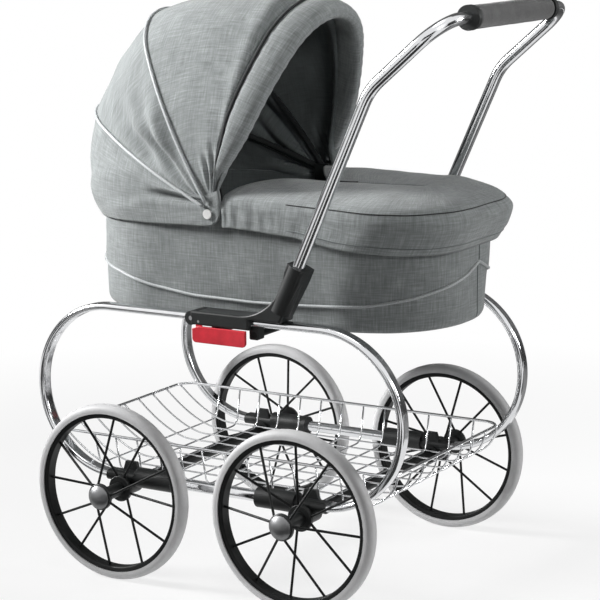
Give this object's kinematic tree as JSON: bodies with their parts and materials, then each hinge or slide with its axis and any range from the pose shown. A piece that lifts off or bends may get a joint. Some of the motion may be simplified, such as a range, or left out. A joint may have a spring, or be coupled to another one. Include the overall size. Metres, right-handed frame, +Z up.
{
  "type": "doll pram",
  "caption": "Doll pram with a bassinet, folding hood and foot apron on a tube frame with spoked wheels, a wire basket and a fold-over push handle.",
  "frame": {"origin": "on the floor, midway between the four wheels", "axes": "+Z up, +X to the rear where the handle is, +Y to the pram's right"},
  "size_m": [0.5632, 0.438, 0.6817],
  "materials": {
    "chrome": "polished",
    "steel": "satin",
    "black_plastic": "matt",
    "wheel_black": "satin",
    "tyre_grey": "matt",
    "cap_pewter": "metallic",
    "lever_red": "gloss",
    "grip_foam": "matt",
    "grey_cloth": "woven",
    "bed_cloth": "woven",
    "board": "matt",
    "snap_white": "gloss"
  },
  "bodies": {
    "chassis": {"side_hoop_left": "chrome", "side_hoop_right": "chrome", "bottom_rails": "chrome", "axle_bracket_front_left": "black_plastic", "axle_bracket_front_right": "black_plastic", "axle_bracket_rear_left": "black_plastic", "axle_bracket_rear_right": "black_plastic", "axles": "steel", "cross_tubes": "wheel_black", "basket_rim": "chrome", "basket_floor": "chrome", "basket_side_left": "chrome", "basket_side_right": "chrome", "basket_front": "chrome", "basket_rear": "chrome", "cradle_blocks": "black_plastic", "cradle_rods": "wheel_black", "hinge_knuckles": "black_plastic", "fold_pins": "steel", "bassinet_shell": "grey_cloth", "base_board": "board", "mattress": "bed_cloth", "apron": "grey_cloth", "hood_curtain": "grey_cloth", "hood_rear_bow": "black_plastic", "hood_pivots": "black_plastic", "snap_buttons": "snap_white"},
    "wheel_front_left": {"tyre_front_left": "tyre_grey", "rim_front_left": "wheel_black", "spokes_front_left": "wheel_black", "hub_front_left": "black_plastic", "hub_cap_front_left": "cap_pewter"},
    "wheel_front_right": {"tyre_front_right": "tyre_grey", "rim_front_right": "wheel_black", "spokes_front_right": "wheel_black", "hub_front_right": "black_plastic", "hub_cap_front_right": "cap_pewter"},
    "wheel_rear_left": {"tyre_rear_left": "tyre_grey", "rim_rear_left": "wheel_black", "spokes_rear_left": "wheel_black", "hub_rear_left": "black_plastic", "hub_cap_rear_left": "cap_pewter"},
    "wheel_rear_right": {"tyre_rear_right": "tyre_grey", "rim_rear_right": "wheel_black", "spokes_rear_right": "wheel_black", "hub_rear_right": "black_plastic", "hub_cap_rear_right": "cap_pewter"},
    "handle": {"handle_tube": "chrome", "grip": "grip_foam", "grip_rings": "black_plastic", "hinge_moulding_left": "black_plastic", "hinge_moulding_right": "black_plastic", "lever_pins": "steel"},
    "lever_left": {"release_lever_left": "lever_red"},
    "lever_right": {"release_lever_right": "lever_red"},
    "hood_mid": {"hood_mid_bow": "black_plastic", "hood_panel_rear": "grey_cloth"},
    "hood_front": {"hood_front_bow": "black_plastic", "hood_roll": "grey_cloth", "hood_panel_main": "grey_cloth"}
  },
  "joints": [
    {"name": "front_left_wheel_spin", "type": "hinge", "parent": "chassis", "child": "wheel_front_left", "pos_m": [-0.124, -0.185, 0.105], "axis": [0, 1, 0], "continuous": true},
    {"name": "front_right_wheel_spin", "type": "hinge", "parent": "chassis", "child": "wheel_front_right", "pos_m": [-0.124, 0.185, 0.105], "axis": [0, 1, 0], "continuous": true},
    {"name": "rear_left_wheel_spin", "type": "hinge", "parent": "chassis", "child": "wheel_rear_left", "pos_m": [0.124, -0.185, 0.105], "axis": [0, 1, 0], "continuous": true},
    {"name": "rear_right_wheel_spin", "type": "hinge", "parent": "chassis", "child": "wheel_rear_right", "pos_m": [0.124, 0.185, 0.105], "axis": [0, 1, 0], "continuous": true},
    {"name": "handle_fold", "type": "hinge", "parent": "chassis", "child": "handle", "pos_m": [-0.021, 0, 0.319], "axis": [0, -1, 0], "range_deg": [0, 110]},
    {"name": "left_lever_release", "type": "hinge", "parent": "handle", "child": "lever_left", "pos_m": [-0.01, -0.1645, 0.31615], "axis": [0, 1, 0], "range_deg": [0, 16], "stiffness_Nm_per_rad": 0.1, "springref_deg": -20.05},
    {"name": "right_lever_release", "type": "hinge", "parent": "handle", "child": "lever_right", "pos_m": [-0.01, 0.1645, 0.31615], "axis": [0, 1, 0], "range_deg": [0, 16], "stiffness_Nm_per_rad": 0.1, "springref_deg": -20.05},
    {"name": "hood_mid_fold", "type": "hinge", "parent": "chassis", "child": "hood_mid", "pos_m": [-0.015, 0, 0.456], "axis": [0, -1, 0], "range_deg": [0, 22], "deforming": ["hood_panel_rear"]},
    {"name": "hood_front_fold", "type": "hinge", "parent": "hood_mid", "child": "hood_front", "pos_m": [-0.015, 0, 0.456], "axis": [0, -1, 0], "range_deg": [0, 40], "deforming": ["hood_panel_main"]}
  ],
  "couplings": [
    {"joint": "hood_front_fold", "follows": "hood_mid_fold", "ratio": 1.81}
  ]
}
